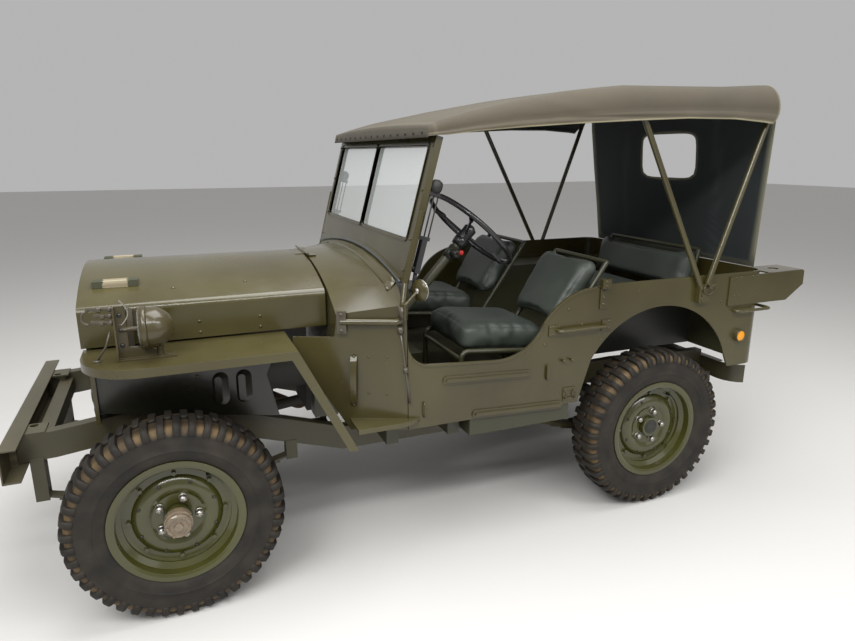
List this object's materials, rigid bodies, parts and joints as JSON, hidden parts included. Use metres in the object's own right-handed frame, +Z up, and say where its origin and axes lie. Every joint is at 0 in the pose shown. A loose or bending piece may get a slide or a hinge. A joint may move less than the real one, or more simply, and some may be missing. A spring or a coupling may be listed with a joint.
{
  "type": "army 4x4 car",
  "caption": "Open light military four-wheel-drive car with scooped doorways, flat fenders, fold-flat style windshield, canvas top, spare wheel and working steering.",
  "frame": {"origin": "on the ground, at the middle of the car's length and width", "axes": "-Y is the car's forward direction, +X its left side, +Z up"},
  "size_m": [1.449, 3.387, 1.8859],
  "materials": {
    "olive_paint": "matt",
    "tyre": "matt",
    "canvas": "woven",
    "wood": "weathered",
    "glass": "clear",
    "seat_fabric": "woven",
    "black": "satin",
    "engine_grey": "rough",
    "rusty_steel": "rough"
  },
  "bodies": {
    "body": {"antenna_bracket": "olive_paint", "body_sides": "olive_paint", "bumper_filler_block": "wood", "canvas_top": "canvas", "control_levers": "olive_paint", "cowl": "olive_paint", "dashboard": "olive_paint", "engine_and_gearbox": "engine_grey", "exhaust": "rusty_steel", "floor": "olive_paint", "frame": "olive_paint", "front_axle": "olive_paint", "front_bumper": "olive_paint", "front_fenders": "olive_paint", "grille": "olive_paint", "lamps": "olive_paint", "leaf_springs": "olive_paint", "propeller_shafts": "engine_grey", "radiator": "black", "rear_axle": "olive_paint", "rear_bumperettes": "olive_paint", "rear_panel": "olive_paint", "seat_cushions": "seat_fabric", "seat_frames": "olive_paint", "shock_absorbers": "olive_paint", "side_mirror": "olive_paint", "spare_tyre": "tyre", "spare_wheel": "olive_paint", "steering_column": "olive_paint", "top_bows": "olive_paint", "wheelhouses": "olive_paint", "windshield_frame": "olive_paint", "windshield_glass": "glass"},
    "left_knuckle": {"left_knuckle": "olive_paint"},
    "right_knuckle": {"right_knuckle": "olive_paint"},
    "front_left_wheel": {"front_left_wheel": "olive_paint", "front_left_tyre": "tyre"},
    "front_right_wheel": {"front_right_wheel": "olive_paint", "front_right_tyre": "tyre"},
    "rear_left_wheel": {"rear_left_wheel": "olive_paint", "rear_left_tyre": "tyre"},
    "rear_right_wheel": {"rear_right_wheel": "olive_paint", "rear_right_tyre": "tyre"},
    "bell_crank": {"steering_bell_crank": "olive_paint"},
    "tie_rods": {"tie_rods": "olive_paint"},
    "drag_link": {"drag_link": "olive_paint"},
    "pitman_arm": {"pitman_arm": "olive_paint"},
    "steering_wheel": {"steering_wheel": "black"},
    "hood": {"hood": "olive_paint", "hood_blocks": "wood"},
    "left_tool_lid": {"left_tool_lid": "olive_paint"},
    "right_tool_lid": {"right_tool_lid": "olive_paint"}
  },
  "joints": [
    {"name": "left_steer", "type": "hinge", "parent": "body", "child": "left_knuckle", "pos_m": [0.53, -1.1685, 0.364], "axis": [0, 0, 1], "range_deg": [-26, 26]},
    {"name": "right_steer", "type": "hinge", "parent": "body", "child": "right_knuckle", "pos_m": [-0.53, -1.1685, 0.364], "axis": [0, 0, 1], "range_deg": [-27, 27]},
    {"name": "bell_crank_turn", "type": "hinge", "parent": "body", "child": "bell_crank", "pos_m": [0.16, -1.1685, 0.441], "axis": [0, 0, 1], "range_deg": [-27, 27]},
    {"name": "tie_rod_swing", "type": "hinge", "parent": "bell_crank", "child": "tie_rods", "pos_m": [0.16, -1.3185, 0.473], "axis": [0, 0, 1], "range_deg": [-27, 27]},
    {"name": "drag_link_swing", "type": "hinge", "parent": "bell_crank", "child": "drag_link", "pos_m": [0.26, -1.1685, 0.473], "axis": [0, 0, 1], "range_deg": [-27, 27]},
    {"name": "pitman_swing", "type": "hinge", "parent": "body", "child": "pitman_arm", "pos_m": [0.2775, -0.5685, 0.573], "axis": [1, 0, 0], "range_deg": [-27, 27]},
    {"name": "steering_wheel_turn", "type": "hinge", "parent": "body", "child": "steering_wheel", "pos_m": [0.34, 0.0815, 1.268], "axis": [0, 0.682, 0.7314], "range_deg": [-366, 366]},
    {"name": "front_left_spin", "type": "hinge", "parent": "left_knuckle", "child": "front_left_wheel", "pos_m": [0.6225, -1.1685, 0.364], "axis": [1, 0, 0], "continuous": true},
    {"name": "front_right_spin", "type": "hinge", "parent": "right_knuckle", "child": "front_right_wheel", "pos_m": [-0.6225, -1.1685, 0.364], "axis": [1, 0, 0], "continuous": true},
    {"name": "rear_left_spin", "type": "hinge", "parent": "body", "child": "rear_left_wheel", "pos_m": [0.6225, 0.8635, 0.364], "axis": [1, 0, 0], "continuous": true},
    {"name": "rear_right_spin", "type": "hinge", "parent": "body", "child": "rear_right_wheel", "pos_m": [-0.6225, 0.8635, 0.364], "axis": [1, 0, 0], "continuous": true},
    {"name": "hood_lift", "type": "hinge", "parent": "body", "child": "hood", "pos_m": [0, -0.5705, 1.17], "axis": [-1, 0, 0], "range_deg": [0, 115]},
    {"name": "left_tool_lid_lift", "type": "hinge", "parent": "body", "child": "left_tool_lid", "pos_m": [0.54, 1.2685, 0.953], "axis": [1, 0, 0], "range_deg": [0, 95]},
    {"name": "right_tool_lid_lift", "type": "hinge", "parent": "body", "child": "right_tool_lid", "pos_m": [-0.54, 1.2685, 0.953], "axis": [1, 0, 0], "range_deg": [0, 95]}
  ],
  "couplings": [
    {"joint": "right_steer", "follows": "left_steer", "ratio": 1},
    {"joint": "bell_crank_turn", "follows": "left_steer", "ratio": 1},
    {"joint": "tie_rod_swing", "follows": "left_steer", "ratio": -1},
    {"joint": "drag_link_swing", "follows": "left_steer", "ratio": -1},
    {"joint": "pitman_swing", "follows": "left_steer", "ratio": 1},
    {"joint": "steering_wheel_turn", "follows": "left_steer", "ratio": 14}
  ]
}
